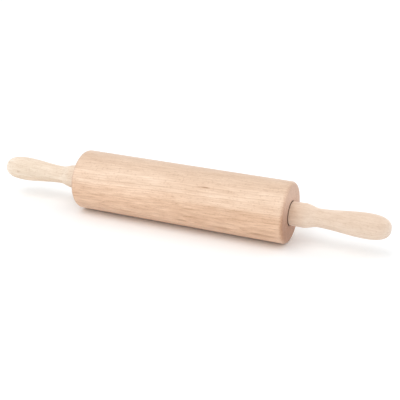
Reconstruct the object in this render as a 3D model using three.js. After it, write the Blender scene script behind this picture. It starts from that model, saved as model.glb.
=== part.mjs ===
// A beech rolling pin: a solid barrel that turns freely on a steel axle, with a turned handle fixed on each
// end of the axle. Millimetres, +Z up, the pin's axis along X, and the origin on the table under the
// middle of the barrel.
import * as THREE from "three";

// Barrel
const barrelLength = 233;
const barrelDiameter = 62.5;
const barrelCornerRadius = 4;

// Axle rod, threaded at both ends into the handles' inserts
const axleDiameter = 8;
const axleReach = 44; // how far each end goes into its handle
const axleChamfer = 1;

// Flanged nylon bush, pressed into each end of the barrel
const bushShankDiameter = 16;
const bushShankLength = 18;
const bushFlangeDiameter = 25;
const bushFlangeThickness = 1.6;
const bushChamfer = 0.8;
const flangeRecessDepth = 2.2; // the flange is let into the barrel's end face by this much

// Steel thrust washer between each bush and handle
const washerDiameter = 16;
const washerThickness = 0.6;

// Barbed threaded insert, driven into the mouth of each handle
const insertDiameter = 12;
const insertLength = 20;
const insertSetback = 1; // below the handle's inner face
const insertBarbs = 4;
const insertBarbHeight = 0.6;
const insertChamfer = 0.6;

// Turned handle; distances run along the handle from its inner face
const handleLength = 98.2;
const collarFaceDiameter = 23.8;
const collarShoulderDiameter = 24.6;
const collarLength = 13.7;
const collarEdgeBreak = 0.2;
const neckDiameter = 18.6;
const neckDistance = 27.7;
const gripDiameter = 25.2;
const gripDistance = 74.5;
const gripEndFullness = 2.6; // 2 is an ellipse, and more is blunter

// Clearances
const seatClearance = 0.1; // round and behind a piece that is pressed into its seat
const runningClearance = 0.1; // round the axle in its bushes, and in the washers
const thrustClearance = 0.1; // on each face of a thrust washer
const flangeClearance = 0.2; // round the bush's flange in its recess
const barrelBoreSpace = 1; // round the axle along the barrel, where only the bushes carry it
const handleHoleSpace = 0.5; // round the axle's end, deep in the handle
const axleTipSpace = 2; // past the axle's end, inside the handle
const drillPointDepth = 2; // cone at the bottom of the handle's bore

// Fineness of the turned surfaces
const barrelSides = 48;
const turnedSides = 32;
const cornerSteps = 5;
const coveSteps = 7;
const swellSteps = 11;
const gripEndSteps = 10;

// Radii and places that follow from the sizes above
const barrelRadius = barrelDiameter / 2;
const axleRadius = axleDiameter / 2;
const bushShankRadius = bushShankDiameter / 2;
const bushFlangeRadius = bushFlangeDiameter / 2;
const bushBoreRadius = axleRadius + runningClearance;
const insertRadius = insertDiameter / 2;

const barrelFace = barrelLength / 2;
const bushSeat = barrelFace - flangeRecessDepth + seatClearance; // back of the flange
const bushFace = bushSeat + bushFlangeThickness;
const washerFace = bushFace + thrustClearance;
const handleFace = washerFace + washerThickness + thrustClearance;
const axleLength = 2 * (handleFace + axleReach);

const beechBarrel = new THREE.MeshStandardMaterial({ color: 0xe3c09f, roughness: 0.62, metalness: 0 });
const beechHandle = new THREE.MeshStandardMaterial({ color: 0xeccfb2, roughness: 0.6, metalness: 0 });
const axleSteel = new THREE.MeshStandardMaterial({ color: 0xb4b6b8, roughness: 0.35, metalness: 1 });
const washerSteel = new THREE.MeshStandardMaterial({ color: 0xa9abad, roughness: 0.4, metalness: 1 });
const bushNylon = new THREE.MeshStandardMaterial({ color: 0x4a3222, roughness: 0.5, metalness: 0 });
const insertBrass = new THREE.MeshStandardMaterial({ color: 0xb08d4a, roughness: 0.35, metalness: 1 });

// Eases from 0 to 1 with no slope at either end.
const ease = (u) => u * u * (3 - 2 * u);

// A solid of revolution about the local Y axis. The outline is a list of [radius, distance along Y], from the
// axis back to the axis or closed on itself. Its flats touch the true circle, and one of them faces down.
function turned(outline, sides) {
  const toCorner = 1 / Math.cos(Math.PI / sides);
  const points = outline.map(([radius, along]) => new THREE.Vector2(radius * toCorner, along));
  return new THREE.LatheGeometry(points, sides, Math.PI / sides);
}

// Points of an eased curve from one [radius, along] to another, without the first.
function easedCurve([radiusA, alongA], [radiusB, alongB], steps) {
  return Array.from({ length: steps }, (_, i) => {
    const u = (i + 1) / steps;
    return [radiusA + (radiusB - radiusA) * ease(u), alongA + (alongB - alongA) * u];
  });
}

// The barrel's rounded corner at its +Y end, from the end face out to the side.
function barrelCorner() {
  return Array.from({ length: cornerSteps + 1 }, (_, i) => {
    const angle = (i / cornerSteps) * (Math.PI / 2);
    return [
      barrelRadius - barrelCornerRadius * (1 - Math.sin(angle)),
      barrelFace - barrelCornerRadius * (1 - Math.cos(angle)),
    ];
  });
}

// Bored right through for the axle, with a seat for a flanged bush in each end.
function barrelGeometry() {
  const boreRadius = axleRadius + barrelBoreSpace;
  const seatRadius = bushShankRadius + seatClearance;
  const recessRadius = bushFlangeRadius + flangeClearance;
  const seatFloor = bushSeat - bushShankLength - seatClearance;
  const recessFloor = barrelFace - flangeRecessDepth;
  const rightEnd = [
    [boreRadius, seatFloor],
    [seatRadius, seatFloor],
    [seatRadius, recessFloor],
    [recessRadius, recessFloor],
    [recessRadius, barrelFace],
    ...barrelCorner(),
  ];
  const leftEnd = rightEnd.map(([radius, along]) => [radius, -along]).reverse();
  return turned([...rightEnd, ...leftEnd, rightEnd[0]].reverse(), barrelSides);
}

function axleGeometry() {
  const end = axleLength / 2;
  const outline = [
    [0, -end],
    [axleRadius - axleChamfer, -end],
    [axleRadius, -end + axleChamfer],
    [axleRadius, end - axleChamfer],
    [axleRadius - axleChamfer, end],
    [0, end],
  ];
  return turned(outline, turnedSides);
}

function bushGeometry() {
  const innerEnd = bushSeat - bushShankLength;
  const outline = [
    [bushBoreRadius, innerEnd],
    [bushShankRadius - bushChamfer, innerEnd],
    [bushShankRadius, innerEnd + bushChamfer],
    [bushShankRadius, bushSeat],
    [bushFlangeRadius, bushSeat],
    [bushFlangeRadius, bushFace],
    [bushBoreRadius, bushFace],
    [bushBoreRadius, innerEnd],
  ];
  return turned(outline, turnedSides);
}

function washerGeometry() {
  const boreRadius = axleRadius + runningClearance;
  const outline = [
    [boreRadius, washerFace],
    [washerDiameter / 2, washerFace],
    [washerDiameter / 2, washerFace + washerThickness],
    [boreRadius, washerFace + washerThickness],
    [boreRadius, washerFace],
  ];
  return turned(outline, turnedSides);
}

// A sleeve with saw-tooth barbs that lean back towards its mouth.
function insertGeometry() {
  const boreRadius = axleRadius + seatClearance;
  const mouth = handleFace + insertSetback;
  const deepEnd = mouth + insertLength;
  const rootRadius = insertRadius - insertBarbHeight;
  const barbPitch = (insertLength - insertChamfer) / insertBarbs;
  const barbs = Array.from({ length: insertBarbs }, (_, i) => [
    [insertRadius, mouth + barbPitch * i],
    [rootRadius, mouth + barbPitch * (i + 1)],
  ]).flat();
  const outline = [
    [boreRadius, mouth],
    ...barbs,
    [rootRadius - insertChamfer, deepEnd],
    [boreRadius, deepEnd],
    [boreRadius, mouth],
  ];
  return turned(outline, turnedSides);
}

// The handle's outside, from its inner face to its tip: a collar that widens a little to its shoulder, a cove
// down to the neck, a long swell to the grip and a blunt rounded end.
function handleOutside() {
  const faceRadius = collarFaceDiameter / 2;
  const shoulder = [collarShoulderDiameter / 2, collarLength];
  const neck = [neckDiameter / 2, neckDistance];
  const grip = [gripDiameter / 2, gripDistance];
  const gripEnd = Array.from({ length: gripEndSteps }, (_, i) => {
    const angle = ((i + 1) / gripEndSteps) * (Math.PI / 2);
    const power = 2 / gripEndFullness;
    const radius = i + 1 < gripEndSteps ? grip[0] * Math.cos(angle) ** power : 0;
    return [radius, gripDistance + (handleLength - gripDistance) * Math.sin(angle) ** power];
  });
  return [
    [faceRadius - collarEdgeBreak, 0],
    [faceRadius, collarEdgeBreak],
    shoulder,
    ...easedCurve(shoulder, neck, coveSteps),
    ...easedCurve(neck, grip, swellSteps),
    ...gripEnd,
  ];
}

// Drilled from its inner face: a wide seat for the insert, then a clear hole for the axle's end.
function handleGeometry() {
  const seatRadius = insertRadius + seatClearance;
  const seatDepth = insertSetback + insertLength + seatClearance;
  const holeRadius = axleRadius + handleHoleSpace;
  const holeDepth = Math.max(axleReach, seatDepth) + axleTipSpace;
  const inside = [
    [0, holeDepth + drillPointDepth],
    [holeRadius, holeDepth],
    [holeRadius, seatDepth],
    [seatRadius, seatDepth],
    [seatRadius, 0],
  ];
  const outline = [...inside, ...handleOutside()].map(([radius, along]) => [radius, handleFace + along]);
  return turned(outline, turnedSides);
}

function piece(name, geometry, material) {
  const mesh = new THREE.Mesh(geometry, material);
  mesh.name = name;
  return mesh;
}

// What is alike at both ends of the pin. The left end is the right end turned half round.
function endPieces(side) {
  const end = new THREE.Group();
  end.add(
    piece(`bearing_bush_${side}`, bushGeometry(), bushNylon),
    piece(`thrust_washer_${side}`, washerGeometry(), washerSteel),
    piece(`threaded_insert_${side}`, insertGeometry(), insertBrass),
    piece(`handle_${side}`, handleGeometry(), beechHandle),
  );
  end.rotation.x = side === "left" ? Math.PI : 0;
  return end;
}

// Everything is turned about the local Y axis, which lies along X, with the barrel standing on the table.
const rollingPin = new THREE.Group();
rollingPin.add(
  piece("barrel", barrelGeometry(), beechBarrel),
  piece("axle_rod", axleGeometry(), axleSteel),
  endPieces("left"),
  endPieces("right"),
);
rollingPin.rotation.z = -Math.PI / 2;
rollingPin.position.z = barrelRadius;

const model = new THREE.Group();
model.add(rollingPin);

export default model;
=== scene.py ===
"""A beech rolling pin: a barrel that turns on a steel axle, between two handles that are screwed onto it.

Everything is in metres. The pin's axis lies along X, the table is at z = 0, and each piece is a skin round
that axis, in the place that its solid holds in the frame. Angles round the pin are in degrees, from the top
towards the front.
"""

import math
from types import SimpleNamespace

import bmesh
import bpy
import numpy as np
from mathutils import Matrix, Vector


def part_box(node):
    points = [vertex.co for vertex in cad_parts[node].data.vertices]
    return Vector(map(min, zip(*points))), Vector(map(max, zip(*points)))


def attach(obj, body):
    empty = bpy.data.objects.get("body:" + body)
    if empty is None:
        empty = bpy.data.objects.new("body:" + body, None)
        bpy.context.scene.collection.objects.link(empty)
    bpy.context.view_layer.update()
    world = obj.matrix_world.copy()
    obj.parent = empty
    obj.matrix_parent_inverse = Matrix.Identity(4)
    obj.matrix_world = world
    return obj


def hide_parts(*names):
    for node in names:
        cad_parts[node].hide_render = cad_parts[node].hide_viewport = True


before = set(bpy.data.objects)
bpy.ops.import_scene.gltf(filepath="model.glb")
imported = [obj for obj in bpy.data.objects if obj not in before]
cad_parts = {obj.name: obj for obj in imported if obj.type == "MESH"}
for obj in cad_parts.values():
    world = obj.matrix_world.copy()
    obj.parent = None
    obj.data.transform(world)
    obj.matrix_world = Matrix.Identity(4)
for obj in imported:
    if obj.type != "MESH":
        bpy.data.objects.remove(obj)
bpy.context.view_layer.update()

MM = 0.001

# Places and sizes that the frame gives
barrel_low, barrel_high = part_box("barrel")
axle_low, axle_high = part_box("axle_rod")
bush_low, bush_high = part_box("bearing_bush_right")
washer_low, washer_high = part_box("thrust_washer_right")
insert_low, insert_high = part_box("threaded_insert_right")
handle_low, handle_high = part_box("handle_right")

AXIS_HEIGHT = (barrel_high.z + barrel_low.z) / 2
BARREL_RADIUS = (barrel_high.z - barrel_low.z) / 2
BARREL_END = barrel_high.x
AXLE_RADIUS = (axle_high.z - axle_low.z) / 2
AXLE_END = axle_high.x
FLANGE_RADIUS = (bush_high.z - bush_low.z) / 2
WASHER_RADIUS = (washer_high.z - washer_low.z) / 2
INSERT_RADIUS = (insert_high.z - insert_low.z) / 2
HANDLE_START = handle_low.x
HANDLE_LENGTH = handle_high.x - handle_low.x

# Barrel, between those places
BARREL_CORNER = 4 * MM
BARREL_BORE_RADIUS = 5 * MM
BUSH_SEAT_RADIUS = 8.1 * MM
BUSH_SEAT_SLACK = 0.1 * MM
FLANGE_RECESS_RADIUS = 12.7 * MM
FLANGE_RECESS_DEPTH = 2.2 * MM
FLANGE_RECESS_EDGE = 0.25 * MM

# Handle, with distances from its inner face
COLLAR_FACE_RADIUS = 11.9 * MM
COLLAR_SHOULDER_RADIUS = 12.3 * MM
COLLAR_LENGTH = 13.7 * MM
COLLAR_EDGE = 0.2 * MM
NECK_RADIUS = 9.3 * MM
NECK_DISTANCE = 27.7 * MM
GRIP_RADIUS = 12.6 * MM
GRIP_DISTANCE = 74.5 * MM
GRIP_END_FULLNESS = 2.6
HANDLE_MOUTH_EDGE = 0.3 * MM
INSERT_SEAT_RADIUS = 6.1 * MM
INSERT_SEAT_DEPTH = 21.1 * MM
AXLE_HOLE_RADIUS = 4.5 * MM
AXLE_HOLE_DEPTH = 46 * MM
DRILL_POINT_DEPTH = 2 * MM

# A small nick in the left handle's grip
NICK_PLACE = -193.6 * MM
NICK_ANGLE = 87
NICK_LENGTH = 2.4 * MM
NICK_WIDTH = 0.7 * MM
NICK_DEPTH = 0.3 * MM

# Bush and washer, which run on the axle
RUNNING_RADIUS = 4.1 * MM
SHANK_RADIUS = 8 * MM
SHANK_END_EDGE = 0.8 * MM
SHANK_ROOT_FILLET = 0.2 * MM
FLANGE_THICKNESS = 1.6 * MM
FLANGE_BACK_EDGE = 0.3 * MM
FLANGE_FACE_EDGE = 0.4 * MM
BUSH_BORE_EDGE = 0.3 * MM
CRUSH_RIBS = 6
CRUSH_RIB_HEIGHT = 0.07 * MM
CRUSH_RIB_SETBACK = 2.5 * MM
CRUSH_RIB_RISE = 1 * MM
CRUSH_RIB_SHARPNESS = 4
WASHER_ROLLED_EDGE = 0.3 * MM
WASHER_CRISP_EDGE = 0.08 * MM
WASHER_BORE_EDGE = 0.2 * MM

# Thread on the axle's ends and in the inserts, with its flats and flanks as shares of the pitch
THREAD_PITCH = 1.25 * MM
THREAD_CREST = 1 / 8
THREAD_ROOT = 1 / 4
THREAD_FLANK = (1 - THREAD_CREST - THREAD_ROOT) / 2
THREAD_DEPTH = THREAD_PITCH * THREAD_FLANK * math.sqrt(3)
THREAD_CLEARANCE = 0.05 * MM
THREAD_OVERRUN = 0.1 * MM
THREAD_STOP = HANDLE_START - THREAD_OVERRUN
AXLE_CHAMFER = 1 * MM

# Barbed insert
INSERT_COUNTERSINK = 0.5 * MM
INSERT_CHAMFER = 0.6 * MM
BARBS = 4
BARB_HEIGHT = 0.6 * MM
BARB_EDGE = 0.15 * MM

# How finely the skins are cut and shaded
WOOD_SIDES = 224
METAL_SIDES = 96
ARC_STEPS = 10
COVE_STEPS = 30
SWELL_STEPS = 90
GRIP_END_STEPS = 60
MERGE_DISTANCE = 0.0001 * MM
SHARP_ANGLE = 40


# Shapes

def skin(name, along, radius):
    """A skin round the pin's axis. Row i and column j of the two arrays put a point at along[i, j] on X, at
    radius[i, j] from the axis, at the angle j of one even turn. The last column repeats the first. Points
    that fall together are merged: at that seam, at a pole, and where the last row repeats the first."""
    along, radius = np.broadcast_arrays(along, radius)
    turn = one_turn(along.shape[1] - 1)
    points = np.stack(
        [along, -radius * np.sin(turn), AXIS_HEIGHT + radius * np.cos(turn)], axis=-1
    )
    index = np.arange(along.size).reshape(along.shape)
    quads = np.stack([index[:-1, :-1], index[:-1, 1:], index[1:, 1:], index[1:, :-1]], axis=-1)
    mesh = bpy.data.meshes.new(name)
    mesh.from_pydata(points.reshape(-1, 3), [], quads.reshape(-1, 4))
    close_up(mesh)
    piece = bpy.data.objects.new(name, mesh)
    bpy.context.scene.collection.objects.link(piece)
    return piece


def one_turn(sides):
    """The angles of one even turn, in radians, with the first repeated at the end."""
    return np.linspace(0, 2 * np.pi, sides + 1)


def close_up(mesh):
    """Merges the points that fall together, turns all faces outwards and shades all but the edges smooth."""
    work = bmesh.new()
    work.from_mesh(mesh)
    bmesh.ops.remove_doubles(work, verts=work.verts, dist=MERGE_DISTANCE)
    bmesh.ops.recalc_face_normals(work, faces=work.faces)
    work.to_mesh(mesh)
    work.free()
    mesh.shade_smooth()
    mesh.set_sharp_from_angle(angle=math.radians(SHARP_ANGLE))


def rounded(corners):
    """An outline of [radius, along] points from a list of (radius, along, fillet) corners. Each corner with
    a fillet becomes an arc that touches both of its sides."""
    corners = np.asarray(corners, float)
    points, fillets = corners[:, :2], corners[:, 2]
    rows = []
    for i, (point, fillet) in enumerate(zip(points, fillets)):
        if fillet == 0:
            rows.append(point[None])
            continue
        to_last = points[i - 1] - point
        to_next = points[(i + 1) % len(points)] - point
        to_last /= np.linalg.norm(to_last)
        to_next /= np.linalg.norm(to_next)
        half = np.arccos(np.clip(to_last @ to_next, -1, 1)) / 2
        middle = (to_last + to_next) / np.linalg.norm(to_last + to_next)
        centre = point + middle * fillet / np.sin(half)
        start = point + to_last * fillet / np.tan(half) - centre
        end = point + to_next * fillet / np.tan(half) - centre
        sweep = np.pi - 2 * half
        step = np.linspace(0, 1, ARC_STEPS)[:, None]
        rows.append(
            centre
            + (start * np.sin((1 - step) * sweep) + end * np.sin(step * sweep)) / np.sin(sweep)
        )
    return np.concatenate(rows)


def closed(outline):
    """The outline with its first point repeated at the end."""
    return np.concatenate([outline, outline[:1]])


def eased(start, end, steps):
    """Points of [radius, along] from one point to another, evenly spaced along X. The radius changes by the
    cubic 3u^2 - 2u^3 of the share u of the way, which has no slope at either end."""
    u = np.linspace(0, 1, steps)
    blend = u * u * (3 - 2 * u)
    return np.stack(
        [start[0] + (end[0] - start[0]) * blend, start[1] + (end[1] - start[1]) * u], axis=-1
    )


def barrel():
    """The barrel's section turned round the axis: bored through, with a bush seat and a flange recess in
    each end, and round corners."""
    seat_floor = bush_low.x - BUSH_SEAT_SLACK
    recess_floor = BARREL_END - FLANGE_RECESS_DEPTH
    right_end = [
        (BARREL_BORE_RADIUS, seat_floor, 0),
        (BUSH_SEAT_RADIUS, seat_floor, 0),
        (BUSH_SEAT_RADIUS, recess_floor, 0),
        (FLANGE_RECESS_RADIUS, recess_floor, 0),
        (FLANGE_RECESS_RADIUS, BARREL_END, FLANGE_RECESS_EDGE),
        (BARREL_RADIUS, BARREL_END, BARREL_CORNER),
    ]
    left_end = [(radius, -along, fillet) for radius, along, fillet in reversed(right_end)]
    outline = closed(rounded(right_end + left_end))
    return skin("beech_barrel", outline[:, 1:], outline[:, :1] + np.zeros(WOOD_SIDES + 1))


def handle_outline():
    """A handle's section, from the bottom of its bore to its mouth, and from there over the collar, the
    cove, the neck and the long swell to the blunt end, which is a superellipse."""
    inside = [
        [0, AXLE_HOLE_DEPTH + DRILL_POINT_DEPTH],
        [AXLE_HOLE_RADIUS, AXLE_HOLE_DEPTH],
        [AXLE_HOLE_RADIUS, INSERT_SEAT_DEPTH],
        [INSERT_SEAT_RADIUS, INSERT_SEAT_DEPTH],
    ]
    collar = rounded(
        [
            (INSERT_SEAT_RADIUS, INSERT_SEAT_DEPTH, 0),
            (INSERT_SEAT_RADIUS, 0, HANDLE_MOUTH_EDGE),
            (COLLAR_FACE_RADIUS, 0, COLLAR_EDGE),
            (COLLAR_SHOULDER_RADIUS, COLLAR_LENGTH, 0),
        ]
    )
    shoulder = (COLLAR_SHOULDER_RADIUS, COLLAR_LENGTH)
    neck = (NECK_RADIUS, NECK_DISTANCE)
    grip = (GRIP_RADIUS, GRIP_DISTANCE)
    cove = eased(shoulder, neck, COVE_STEPS)
    swell = eased(neck, grip, SWELL_STEPS)
    power = 2 / GRIP_END_FULLNESS
    angle = np.linspace(0, 1, GRIP_END_STEPS) ** (1 / power) * np.pi / 2
    end = np.stack(
        [
            GRIP_RADIUS * np.maximum(np.cos(angle), 0) ** power,
            GRIP_DISTANCE + (HANDLE_LENGTH - GRIP_DISTANCE) * np.sin(angle) ** power,
        ],
        axis=-1,
    )
    end[-1, 0] = 0
    outline = np.concatenate([inside, collar[1:-1], cove[:-1], swell[:-1], end])
    outline[:, 1] += HANDLE_START
    return outline


def handle(side_name, side):
    """The handle's section turned round the axis. The left handle has a nick: a hollow of Gaussian section
    in both directions, sunk into the skin."""
    outline = handle_outline()
    along = side * outline[:, 1:]
    round_grip = GRIP_RADIUS * (one_turn(WOOD_SIDES) - math.radians(NICK_ANGLE))
    from_nick = np.hypot((along - NICK_PLACE) / NICK_LENGTH, round_grip / NICK_WIDTH)
    radius = outline[:, :1] - NICK_DEPTH * np.exp(-from_nick**2)
    return skin(f"beech_handle_{side_name}", along, np.maximum(radius, 0))


def thread_rows(start, stop):
    """Places on X of a thread's rows between two planes. Four rows to each pitch climb with the thread, at
    the edges of its crest and of its root, and what would pass a plane lies on it."""
    edges = np.array([0, THREAD_CREST, THREAD_CREST + THREAD_FLANK, 1 - THREAD_FLANK])
    pitches = np.arange(math.floor(start / THREAD_PITCH) - 1, math.ceil(stop / THREAD_PITCH) + 1)
    rows = THREAD_PITCH * (pitches[:, None] + edges).reshape(-1, 1)
    return np.clip(rows + THREAD_PITCH * one_turn(METAL_SIDES) / (2 * np.pi), start, stop)


def thread_depth(along):
    """How far the thread is cut in, from 0 on its crest to 1 at its root: flats joined by straight flanks,
    on a right-handed helix along X."""
    phase = (along / THREAD_PITCH - one_turn(METAL_SIDES) / (2 * np.pi)) % 1
    edges = [0, THREAD_CREST, THREAD_CREST + THREAD_FLANK, 1 - THREAD_FLANK, 1]
    return np.interp(phase, edges, [0, 0, 1, 1, 0])


def axle():
    """A rod with a thread at both ends. The thread runs out over one pitch, a chamfer cuts it at the tips,
    and a pole closes each end."""
    tip = np.full((1, METAL_SIDES + 1), AXLE_END)
    along = np.concatenate(
        [-tip, thread_rows(-AXLE_END, -THREAD_STOP), thread_rows(THREAD_STOP, AXLE_END), tip]
    )
    run_out = np.clip((np.abs(along) - THREAD_STOP) / THREAD_PITCH, 0, 1)
    radius = AXLE_RADIUS - THREAD_DEPTH * run_out * thread_depth(along)
    radius = np.minimum(radius, AXLE_RADIUS - AXLE_CHAMFER + AXLE_END - np.abs(along))
    radius[[0, -1]] = 0
    return skin("threaded_axle", along, radius)


def insert(side_name, side):
    """A brass sleeve. Outside, saw-tooth barbs lean back towards its mouth. Inside, a thread matches the
    axle's, with a countersink at the mouth."""
    mouth, deep = insert_low.x, insert_high.x
    pitch = (deep - mouth - INSERT_CHAMFER) / BARBS
    barb_start = mouth + pitch * np.arange(BARBS)
    root = INSERT_RADIUS - BARB_HEIGHT
    teeth = [
        [[INSERT_RADIUS, start], [INSERT_RADIUS, start + BARB_EDGE], [root, start + pitch]]
        for start in barb_start
    ]
    outside = np.concatenate([*teeth, [[root - INSERT_CHAMFER, deep]]])
    bore_along = thread_rows(*sorted((side * mouth, side * deep)))[::-side]
    bore_radius = AXLE_RADIUS + THREAD_CLEARANCE - THREAD_DEPTH * thread_depth(bore_along)
    countersink = AXLE_RADIUS + INSERT_COUNTERSINK - (np.abs(bore_along) - mouth)
    flat = np.zeros(METAL_SIDES + 1)
    along = np.concatenate([side * outside[:, 1:] + flat, bore_along])
    radius = np.concatenate([outside[:, :1] + flat, np.maximum(bore_radius, countersink)])
    return skin(f"brass_insert_{side_name}", closed(along), closed(radius))


def bush(side_name, side):
    """A moulded bush with rounded edges: a flange, and a shank with low crush ribs along it. A rib is a
    narrow peak of the cosine of the angle times the number of ribs, and slopes away at both of its ends."""
    inner, face = bush_low.x, bush_high.x
    seat = face - FLANGE_THICKNESS
    rib_start = inner + CRUSH_RIB_SETBACK
    rib_stop = seat - CRUSH_RIB_SETBACK
    outline = closed(
        rounded(
            [
                (RUNNING_RADIUS, inner, BUSH_BORE_EDGE),
                (SHANK_RADIUS, inner, SHANK_END_EDGE),
                (SHANK_RADIUS, rib_start - CRUSH_RIB_RISE, 0),
                (SHANK_RADIUS, rib_start, 0),
                (SHANK_RADIUS, rib_stop, 0),
                (SHANK_RADIUS, seat, SHANK_ROOT_FILLET),
                (FLANGE_RADIUS, seat, FLANGE_BACK_EDGE),
                (FLANGE_RADIUS, face, FLANGE_FACE_EDGE),
                (RUNNING_RADIUS, face, BUSH_BORE_EDGE),
            ]
        )
    )
    radius, along = outline[:, :1], outline[:, 1:]
    ribbed = (along >= rib_start) & (along <= rib_stop)
    rib = np.maximum(np.cos(CRUSH_RIBS * one_turn(METAL_SIDES)), 0) ** CRUSH_RIB_SHARPNESS
    return skin(f"flanged_bush_{side_name}", side * along, radius + CRUSH_RIB_HEIGHT * ribbed * rib)


def washer(side_name, side):
    """A stamped ring: its outer edge is rolled over on one face and its bore on the other, and the edges
    across from those are crisp."""
    outline = closed(
        rounded(
            [
                (RUNNING_RADIUS, washer_low.x, WASHER_CRISP_EDGE),
                (WASHER_RADIUS, washer_low.x, WASHER_ROLLED_EDGE),
                (WASHER_RADIUS, washer_high.x, WASHER_CRISP_EDGE),
                (RUNNING_RADIUS, washer_high.x, WASHER_BORE_EDGE),
            ]
        )
    )
    flat = np.zeros(METAL_SIDES + 1)
    return skin(f"steel_washer_{side_name}", side * outline[:, 1:], outline[:, :1] + flat)


# Materials

class Recipe:
    """A material's nodes. Each method adds a node and gives back its output."""

    def __init__(self, name):
        self.material = bpy.data.materials.new(name)
        self.material.use_nodes = True
        self.tree = self.material.node_tree
        self.tree.nodes.clear()

    def add(self, kind, inputs, output=0, **settings):
        node = self.tree.nodes.new(kind)
        for key, value in settings.items():
            setattr(node, key, value)
        for key, value in inputs.items():
            if isinstance(value, bpy.types.NodeSocket):
                self.tree.links.new(value, node.inputs[key])
            else:
                node.inputs[key].default_value = value
        return node.outputs[output]

    def object_place(self):
        return self.add("ShaderNodeTexCoord", {}, output="Object")

    def math(self, operation, *values):
        return self.add("ShaderNodeMath", dict(enumerate(values)), operation=operation)

    def place(self, vector, location=(0, 0, 0), rotation=(0, 0, 0), scale=(1, 1, 1)):
        inputs = {"Vector": vector, "Location": location, "Rotation": rotation, "Scale": scale}
        return self.add("ShaderNodeMapping", inputs)

    def length(self, vector):
        return self.add("ShaderNodeVectorMath", {0: vector}, output=1, operation="LENGTH")

    def noise(self, vector, detail=2, roughness=0.5):
        """Noise about 0, from about -0.5 to 0.5."""
        inputs = {"Vector": vector, "Scale": 1, "Detail": detail, "Roughness": roughness}
        return self.math("SUBTRACT", self.add("ShaderNodeTexNoise", inputs), 0.5)

    def ranged(self, value, low, high, to_low=0, to_high=1):
        inputs = {"Value": value, "From Min": low, "From Max": high, "To Min": to_low, "To Max": to_high}
        return self.add("ShaderNodeMapRange", inputs, interpolation_type="SMOOTHSTEP")

    def plus(self, start, value, share):
        """start + value * share"""
        return self.math("MULTIPLY_ADD", value, share, start)

    def mix(self, factor, first, second, blend="MIX"):
        inputs = {0: factor, 6: first, 7: second}
        return self.add("ShaderNodeMix", inputs, output=2, data_type="RGBA", blend_type=blend)

    def bump(self, height, depth):
        return self.add("ShaderNodeBump", {"Strength": 1, "Distance": depth, "Height": height})

    def finish(self, **inputs):
        shader = self.add("ShaderNodeBsdfPrincipled", {k.replace("_", " "): v for k, v in inputs.items()})
        self.add_output(shader)
        return self.material

    def add_output(self, shader):
        node = self.tree.nodes.new("ShaderNodeOutputMaterial")
        self.tree.links.new(shader, node.inputs["Surface"])


# How often the figure of beech repeats in a metre, along the pith line and in both directions across it
WANDER_SCALE = (9, 34, 34)
PATCH_SCALE = (14, 60, 60)
STREAK_SCALE = (14, 170, 170)
FIBRE_SCALE = (60, 620, 620)
PORE_SCALE = (380, 4600, 4600)
RAY_SCALE = (420, 300, 1700)  # along the pith, out from it and round it

# Growth rings: how far they wander, how uneven their widths are, and how late their dark edge comes
RING_WANDER = 6 * MM
RING_UNEVENNESS = 1.5
RING_UNEVEN_SCALE = 0.6
RING_LATENESS = 3

# Where noise becomes a ray or a pore
RAY_RANGE = (0.06, 0.22)
PORE_RANGE = (0.12, 0.3)

# Zones of colour, by distance towards the heart side in radii, and what breaks up their edges. The heart
# side
# lies under each piece: the zone in its middle is painted shade, darker and browner, and the zone on the far
# side is painted shade on the top, darker.
HEART_RANGE = (-0.35, 0.35)
PAINTED_TOP_SHADE_RANGE = (-0.92, -0.35)
PAINTED_UNDERSIDE_SHADE_RANGE = (0.84, 1.02)
PAINTED_UNDERSIDE_SHADE_PATCHES = 0.5
BLUSH_RANGE = (-0.2, 1.2)
BLUSH_PATCHES = 1.6
BLUSH_LATE_WOOD = 0.3

# How much lighter or darker the figure makes the wood, and how much more so in the heart
PLAIN_TONE = 1.05
FIBRE_TONE = 0.42
STREAK_TONE = 0.20
LATE_WOOD_TONE = -0.07
RAY_TONE = -0.09
PORE_TONE = -0.06
HEART_CONTRAST = 0.5
GREEN_TONE_POWER = 1.35
BLUE_TONE_POWER = 1.7

# Flecks and zones: their depth into the wood, their ragged edge, and where they fade
MARK_DEPTH = 0.3
MARK_WANDER = 1.5
MARK_FADE = (0.3, 1.0)

# End grain, and the finish of the wood
END_GRAIN_POWER = 1.5
# Painted shade: over this range the barrel's end grain gets darker towards the bottom.
END_GRAIN_PAINTED_LIGHT_RANGE = (-1, 0.5)
SIDE_ROUGHNESS = 0.56
END_ROUGHNESS = 0.72
FIBRE_ROUGHNESS = -0.2
RAY_RELIEF = -0.5
PORE_RELIEF = -0.5
WOOD_RELIEF_DEPTH = 0.05 * MM
WOOD_IOR = 1.46
WOOD_SHEEN = 0.3
WOOD_SHEEN_ROUGHNESS = 0.5

# Tool marks on metal, and the moulded grain of nylon
TOOL_MARK_RANGE = (-0.15, 0.15)
TOOL_MARK_SHADE = 0.84
TOOL_MARK_ROUGHNESS = 0.2
TOOL_MARK_DEPTH = 0.004 * MM
NYLON_GRAIN_SCALE = (3000, 3000, 3000)
NYLON_GRAIN_RANGE = (-0.2, 0.2)
NYLON_GRAIN_SHADE = 1.3
NYLON_GRAIN_DEPTH = 0.008 * MM
NYLON_ROUGHNESS = 0.7
NYLON_IOR = 1.2


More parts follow.
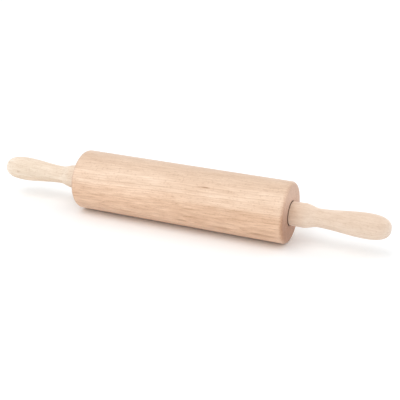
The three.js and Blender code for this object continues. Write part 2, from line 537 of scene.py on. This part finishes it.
def beech(
    name, pale, ruddy, deep, painted_top_shade, end_grain_tints_with_painted_light, radius, heart_angle, pith_angle, pith_distance, slope,
    ring_width, contrast, marks,
):
    """Sanded beech, worked out in the solid: zones of colour, darkened and lightened by the figure of the
    wood and by marks. End grain comes in as the surface turns across the fibres, and goes from its first
    tint to its second towards the heart side. On the barrel's ends that is painted shade, darker towards the
    bottom; on the handles' tips the tints are a painted highlight, lighter and bluer than the side grain."""
    r = Recipe(name)
    on_axis = r.place(r.object_place(), location=(0, 0, -AXIS_HEIGHT))
    a = math.radians(heart_angle)
    to_heart = (0, -math.sin(a) / radius, math.cos(a) / radius)
    side = r.add("ShaderNodeVectorMath", {0: on_axis, 1: to_heart}, output=1, operation="DOT_PRODUCT")
    heart = r.ranged(side, *HEART_RANGE)
    figure = beech_figure(r, on_axis, pith_angle, pith_distance, slope, ring_width)

    colour = beech_zones(r, side, heart, figure, pale, ruddy, deep, painted_top_shade)
    tone = beech_tone(r, heart, figure, contrast)
    for place, angle, length, width, strength in marks:
        inside = mark(r, on_axis, place, angle, radius, length, width, figure.wander)
        tone = r.plus(tone, inside, -strength)
    green = r.math("POWER", tone, GREEN_TONE_POWER)
    blue = r.math("POWER", tone, BLUE_TONE_POWER)
    shade = r.add("ShaderNodeCombineColor", {0: tone, 1: green, 2: blue})
    colour = r.mix(1.0, colour, shade, blend="MULTIPLY")

    facing = r.add("ShaderNodeNewGeometry", {}, output="Normal")
    facing_x = r.add("ShaderNodeSeparateXYZ", {0: facing}, output=0)
    across = r.math("POWER", r.math("ABSOLUTE", facing_x), END_GRAIN_POWER)
    # Painted light on the end grain: on the barrel darker towards the bottom, on the handles' tips lighter
    # and bluer.
    end_grain_tint_with_painted_light = r.mix(r.ranged(side, *END_GRAIN_PAINTED_LIGHT_RANGE), *end_grain_tints_with_painted_light)
    colour = r.mix(across, colour, r.mix(1.0, colour, end_grain_tint_with_painted_light, blend="MULTIPLY"))

    roughness = r.ranged(across, 0, 1, SIDE_ROUGHNESS, END_ROUGHNESS)
    height = r.plus(r.plus(figure.fibre, figure.ray, RAY_RELIEF), figure.pore, PORE_RELIEF)
    return r.finish(
        Base_Color=colour,
        Roughness=r.plus(roughness, figure.fibre, FIBRE_ROUGHNESS),
        IOR=WOOD_IOR,
        Normal=r.bump(height, WOOD_RELIEF_DEPTH),
        Sheen_Weight=WOOD_SHEEN,
        Sheen_Roughness=WOOD_SHEEN_ROUGHNESS,
    )


def beech_figure(r, on_axis, pith_angle, pith_distance, slope, ring_width):
    """What grows in the wood. Rings lie round a pith line beside the piece, which runs along X but for a
    small slope, and darken to their outer edge. Rays lie across the rings: short dashes where the surface
    follows the rings, and broad flakes where it cuts them. Fibres, streaks, pores and patches run along the
    pith."""
    tilt = math.pi / 2 - math.radians(pith_angle)
    log = r.place(on_axis, location=(0, pith_distance, 0), rotation=(tilt, *map(math.radians, slope)))
    along, across, up = r.add("ShaderNodeSeparateXYZ", {0: log}).node.outputs
    wander = r.noise(r.place(log, scale=WANDER_SCALE), detail=4)

    from_pith = r.length(r.place(log, scale=(0, 1, 1)))
    ring = r.math("DIVIDE", r.plus(from_pith, wander, RING_WANDER), ring_width)
    uneven = {"W": ring, "Scale": RING_UNEVEN_SCALE, "Detail": 1}
    ring = r.plus(ring, r.add("ShaderNodeTexNoise", uneven, noise_dimensions="1D"), RING_UNEVENNESS)

    round_pith = r.math("MULTIPLY", r.math("ARCTAN2", up, across), pith_distance)
    in_rings = r.add("ShaderNodeCombineXYZ", {0: along, 1: from_pith, 2: round_pith})
    return SimpleNamespace(
        wander=wander,
        late_wood=r.math("POWER", r.math("FRACT", ring), RING_LATENESS),
        ray=r.ranged(r.noise(r.place(in_rings, scale=RAY_SCALE), detail=1), *RAY_RANGE),
        fibre=r.noise(r.place(log, scale=FIBRE_SCALE), detail=4, roughness=0.6),
        streak=r.noise(r.place(log, scale=STREAK_SCALE), detail=2),
        pore=r.ranged(r.noise(r.place(log, scale=PORE_SCALE), detail=0), *PORE_RANGE),
        patch=r.noise(r.place(log, scale=PATCH_SCALE), detail=3),
    )


def beech_zones(r, side, heart, figure, pale, ruddy, deep, painted_top_shade):
    """Pale wood that turns to ruddy heartwood on one side of the piece, in patches and in dark grain. That
    side lies underneath, and in its middle the wood is painted shade, darker and browner. The opposite side,
    the top, is painted shade, darker."""
    blush = r.plus(r.plus(heart, figure.patch, BLUSH_PATCHES), figure.late_wood, BLUSH_LATE_WOOD)
    colour = r.mix(r.ranged(blush, *BLUSH_RANGE), pale, ruddy)
    # Painted shade: darker and browner in the middle of the underside, and darker on the top.
    middle = r.plus(side, figure.patch, PAINTED_UNDERSIDE_SHADE_PATCHES)
    colour = r.mix(r.ranged(middle, *PAINTED_UNDERSIDE_SHADE_RANGE), colour, deep)
    return r.mix(r.ranged(side, *PAINTED_TOP_SHADE_RANGE, 1, 0), colour, painted_top_shade)


def beech_tone(r, heart, figure, contrast):
    """How light the figure makes the wood: a plain tone, and the sum of the figure's own tones times the
    contrast, which grows towards the heart. Pores are the same everywhere."""
    grain = r.plus(r.math("MULTIPLY", figure.fibre, FIBRE_TONE), figure.streak, STREAK_TONE)
    grain = r.plus(r.plus(grain, figure.late_wood, LATE_WOOD_TONE), figure.ray, RAY_TONE)
    tone = r.plus(PLAIN_TONE, grain, r.plus(contrast, heart, HEART_CONTRAST * contrast))
    return r.plus(tone, figure.pore, PORE_TONE)


def mark(r, on_axis, place, angle, radius, length, width, wander):
    """1 inside a fleck or zone, an ellipsoid at that place on X, angle and radius, fading to 0 outside."""
    turned = r.place(on_axis, rotation=(-math.radians(angle), 0, 0))
    centred = r.place(turned, location=(-place, 0, -radius))
    spread = r.place(centred, scale=(1 / length, 1 / width, MARK_DEPTH / width))
    return r.ranged(r.plus(r.length(spread), wander, MARK_WANDER), *MARK_FADE, 1, 0)


def metal(name, colour, roughness, marks):
    """Bright metal with fine tool marks, as wide and long as the scale of their noise on X, Y and Z says."""
    r = Recipe(name)
    lines = r.noise(r.place(r.object_place(), scale=marks), detail=2)
    shaded = [TOOL_MARK_SHADE * c for c in colour[:3]] + [1]
    return r.finish(
        Base_Color=r.mix(r.ranged(lines, *TOOL_MARK_RANGE), colour, shaded),
        Roughness=r.plus(roughness, lines, TOOL_MARK_ROUGHNESS),
        Metallic=1.0,
        Normal=r.bump(lines, TOOL_MARK_DEPTH),
    )


def nylon(name, colour):
    """Moulded nylon with a fine matt texture."""
    r = Recipe(name)
    grain = r.noise(r.place(r.object_place(), scale=NYLON_GRAIN_SCALE), detail=2)
    shaded = [NYLON_GRAIN_SHADE * c for c in colour[:3]] + [1]
    return r.finish(
        Base_Color=r.mix(r.ranged(grain, *NYLON_GRAIN_RANGE), colour, shaded),
        Roughness=NYLON_ROUGHNESS,
        IOR=NYLON_IOR,
        Normal=r.bump(grain, NYLON_GRAIN_DEPTH),
    )


# Pieces

def dress(piece, node, body, material):
    """Puts a piece in the place of its node, on the body that it moves with."""
    piece.data.materials.append(material)
    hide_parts(node)
    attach(piece, body)


# Each mark has its place on X, its angle round the pin, its reach along and across the grain, and how much
# darker it is.
barrel_wood = beech(
    "barrel_beech",
    pale=(0.885, 0.655, 0.487, 1),
    ruddy=(0.79, 0.518, 0.347, 1),
    # Painted shade: the barrel's underside colour below is darker and browner, and its top colour darker.
    deep=(0.79, 0.485, 0.305, 1),
    painted_top_shade=(0.722, 0.510, 0.362, 1),
    # Painted shade: the barrel's end faces go from pale and greyish at the top to dark at the bottom.
    end_grain_tints_with_painted_light=[(0.89, 0.815, 0.815, 1), (0.555, 0.41, 0.335, 1)],
    radius=BARREL_RADIUS,
    heart_angle=165,
    pith_angle=112,
    pith_distance=84 * MM,
    slope=(0.6, -2.0),
    ring_width=2.6 * MM,
    contrast=1.1,
    marks=[
        (33.2 * MM, 44.6, 6.6 * MM, 0.9 * MM, 0.30),
        (1.4 * MM, 71, 2.5 * MM, 1.3 * MM, 0.14),
        (10 * MM, 120, 13 * MM, 2.4 * MM, 0.21),
        (51 * MM, 121, 17 * MM, 2.0 * MM, 0.21),
        (96 * MM, 122, 18 * MM, 2.4 * MM, 0.22),
        (-62 * MM, 82, 78 * MM, 17 * MM, -0.075),
        (38 * MM, 94, 75 * MM, 5 * MM, 0.08),
        (44 * MM, 50, 55 * MM, 6 * MM, 0.06),
    ],
)
handle_wood = {
    "left": beech(
        "handle_beech_left",
        pale=(0.885, 0.73, 0.575, 1),
        ruddy=(0.85, 0.665, 0.495, 1),
        # Painted shade: the handle's underside colour below is darker, and its top colour darker.
        deep=(0.83, 0.625, 0.45, 1),
        painted_top_shade=(0.83, 0.67, 0.52, 1),
        # Painted highlight: the left handle's end grain at the tip is lighter and bluer.
        end_grain_tints_with_painted_light=[(1.04, 1.07, 1.15, 1), (1.02, 1.05, 1.11, 1)],
        radius=GRIP_RADIUS,
        heart_angle=203,
        pith_angle=150,
        pith_distance=70 * MM,
        slope=(1.2, 1.5),
        ring_width=2.2 * MM,
        contrast=1.0,
        marks=[
            # Painted shade: the nick is darker inside.
            (NICK_PLACE, NICK_ANGLE, NICK_LENGTH, NICK_WIDTH, 0.2),
            # Painted light: the left handle's tip is lighter.
            (-209 * MM, 45, 18 * MM, 14 * MM, -0.06),
        ],
    ),
    "right": beech(
        "handle_beech_right",
        pale=(0.845, 0.667, 0.525, 1),
        ruddy=(0.815, 0.637, 0.497, 1),
        # Painted shade: the handle's underside colour below is darker, and its top colour darker.
        deep=(0.795, 0.60, 0.455, 1),
        painted_top_shade=(0.78, 0.597, 0.458, 1),
        # Painted highlight: the right handle's end grain at the tip is a little lighter and bluer.
        end_grain_tints_with_painted_light=[(1.01, 1.03, 1.06, 1), (0.99, 1.01, 1.04, 1)],
        radius=GRIP_RADIUS,
        heart_angle=218,
        pith_angle=165,
        pith_distance=70 * MM,
        slope=(-1.0, 1.4),
        ring_width=2.4 * MM,
        contrast=0.75,
        marks=[
            # Painted shade: the collar is darker next to the barrel's end.
            (121 * MM, 80, 12 * MM, 13 * MM, 0.07),
            # Painted shade: darker on the upper side just past the neck.
            (146 * MM, 30, 8 * MM, 7 * MM, 0.05),
            # Painted shade: the right handle's tip is darker.
            (207 * MM, 60, 14 * MM, 13 * MM, 0.03),
        ],
    ),
}
axle_metal = metal("drawn_steel", (0.56, 0.57, 0.58, 1), 0.32, marks=(25, 1500, 1500))
washer_metal = metal("stamped_steel", (0.50, 0.51, 0.52, 1), 0.4, marks=(400, 900, 900))
insert_metal = metal("turned_brass", (0.70, 0.50, 0.20, 1), 0.3, marks=(2600, 60, 60))
# Painted shade: the bush's very dark brown stands for the shade in the gap between barrel and collar.
bush_plastic = nylon("dark_nylon_painted_gap_shade", (0.075, 0.030, 0.013, 1))

HANDLES = "handles_and_axle"
ROLLER = "roller"
dress(barrel(), "barrel", ROLLER, barrel_wood)
dress(axle(), "axle_rod", HANDLES, axle_metal)
for side_name, side in (("left", -1), ("right", 1)):
    wood = handle_wood[side_name]
    dress(handle(side_name, side), f"handle_{side_name}", HANDLES, wood)
    dress(insert(side_name, side), f"threaded_insert_{side_name}", HANDLES, insert_metal)
    dress(washer(side_name, side), f"thrust_washer_{side_name}", HANDLES, washer_metal)
    dress(bush(side_name, side), f"bearing_bush_{side_name}", ROLLER, bush_plastic)


# Floor, light and camera

# The floor's own colour lights the pin, and the camera sees it a little lighter, so that it is white.
FLOOR_SIZE = 12
FLOOR_COLOUR = (0.95, 0.95, 0.95, 1)
FLOOR_SEEN = (1.04, 1.065, 1.08, 1)
FAR_FLOOR_START = 0.6
FAR_FLOOR_END = 3
DOME_HORIZON = 0.69
DOME_ZENITH = 0.95
DOME_SEEN = 1
LAMP_SIZE = 2.2
LAMP_DISTANCE = 3.0
KEY_POWER = 20
KEY_AZIMUTH = -20
KEY_ELEVATION = 65
BACK_POWER = 8
BACK_AZIMUTH = 150
BACK_ELEVATION = 45

CAMERA_AZIMUTH = 23.156
CAMERA_ELEVATION = 23.34
CAMERA_DISTANCE = 0.88393
CAMERA_TARGET = Vector((18.652 * MM, 0, 28.755 * MM))
CAMERA_LENS = 77.483
CAMERA_SENSOR = 36


def direction(azimuth, elevation):
    """The unit vector towards a place at that azimuth (0 is in front, 90 is right) and elevation."""
    a, e = math.radians(azimuth), math.radians(elevation)
    return Vector((math.sin(a) * math.cos(e), -math.cos(a) * math.cos(e), math.sin(e)))


def background_rays(tree):
    """1 for the rays that show the background: the camera's own, and those off gloss or through glass."""
    path = tree.nodes.new("ShaderNodeLightPath")
    total = path.outputs["Is Camera Ray"]
    for name in ("Is Glossy Ray", "Is Transmission Ray"):
        largest = tree.nodes.new("ShaderNodeMath")
        largest.operation = "MAXIMUM"
        tree.links.new(total, largest.inputs[0])
        tree.links.new(path.outputs[name], largest.inputs[1])
        total = largest.outputs[0]
    return total


def white_floor():
    """A matt pale floor that keeps the pin's shadow. Far off, where the lamps' light falls away, it is seen
    as plain white."""
    corner = FLOOR_SIZE / 2
    mesh = bpy.data.meshes.new("floor")
    mesh.from_pydata(
        [(-corner, -corner, 0), (corner, -corner, 0), (corner, corner, 0), (-corner, corner, 0)],
        [],
        [(0, 1, 2, 3)],
    )
    floor = bpy.data.objects.new("floor", mesh)
    bpy.context.scene.collection.objects.link(floor)
    r = Recipe("white_floor")
    seen = background_rays(r.tree)
    near = r.add("ShaderNodeBsdfDiffuse", {"Color": r.mix(seen, FLOOR_COLOUR, FLOOR_SEEN)})
    far = r.add("ShaderNodeEmission", {"Strength": 1})
    distance = r.ranged(r.length(r.object_place()), FAR_FLOOR_START, FAR_FLOOR_END)
    share = r.math("MULTIPLY", distance, seen)
    r.add_output(r.add("ShaderNodeMixShader", {0: share, 1: near, 2: far}))
    mesh.materials.append(r.material)


def white_dome():
    """Soft light from all round that changes evenly from the horizon to straight above. It is seen as plain
    white."""
    world = bpy.data.worlds.new("dome")
    bpy.context.scene.world = world
    world.use_nodes = True
    tree = world.node_tree
    towards = tree.nodes.new("ShaderNodeTexCoord")
    split = tree.nodes.new("ShaderNodeSeparateXYZ")
    height = tree.nodes.new("ShaderNodeMapRange")
    height.inputs["To Min"].default_value = DOME_HORIZON
    height.inputs["To Max"].default_value = DOME_ZENITH
    level = tree.nodes.new("ShaderNodeMapRange")
    level.inputs["To Max"].default_value = DOME_SEEN
    background = tree.nodes["Background"]
    background.inputs["Color"].default_value = (1, 1, 1, 1)
    tree.links.new(towards.outputs["Generated"], split.inputs[0])
    tree.links.new(split.outputs[2], height.inputs["Value"])
    tree.links.new(height.outputs[0], level.inputs["To Min"])
    tree.links.new(background_rays(tree), level.inputs["Value"])
    tree.links.new(level.outputs[0], background.inputs["Strength"])


def soft_lamp(name, azimuth, elevation, power):
    """A large round lamp that faces the pin from that side."""
    data = bpy.data.lights.new(name, "AREA")
    data.shape = "DISK"
    data.size = LAMP_SIZE
    data.energy = power
    lamp = bpy.data.objects.new(name, data)
    towards = direction(azimuth, elevation)
    lamp.location = towards * LAMP_DISTANCE
    lamp.rotation_mode = "QUATERNION"
    lamp.rotation_quaternion = towards.to_track_quat("Z", "Y")
    bpy.context.scene.collection.objects.link(lamp)


def camera():
    """The photograph's view."""
    data = bpy.data.cameras.new("camera")
    data.lens = CAMERA_LENS
    data.sensor_width = CAMERA_SENSOR
    view = bpy.data.objects.new("camera", data)
    back = direction(CAMERA_AZIMUTH, CAMERA_ELEVATION)
    view.location = CAMERA_TARGET + back * CAMERA_DISTANCE
    view.rotation_mode = "QUATERNION"
    view.rotation_quaternion = back.to_track_quat("Z", "Y")
    bpy.context.scene.collection.objects.link(view)
    bpy.context.scene.camera = view


white_floor()
white_dome()
soft_lamp("soft_key", KEY_AZIMUTH, KEY_ELEVATION, KEY_POWER)
soft_lamp("soft_back", BACK_AZIMUTH, BACK_ELEVATION, BACK_POWER)
camera()
bpy.context.scene.view_settings.view_transform = "Standard"
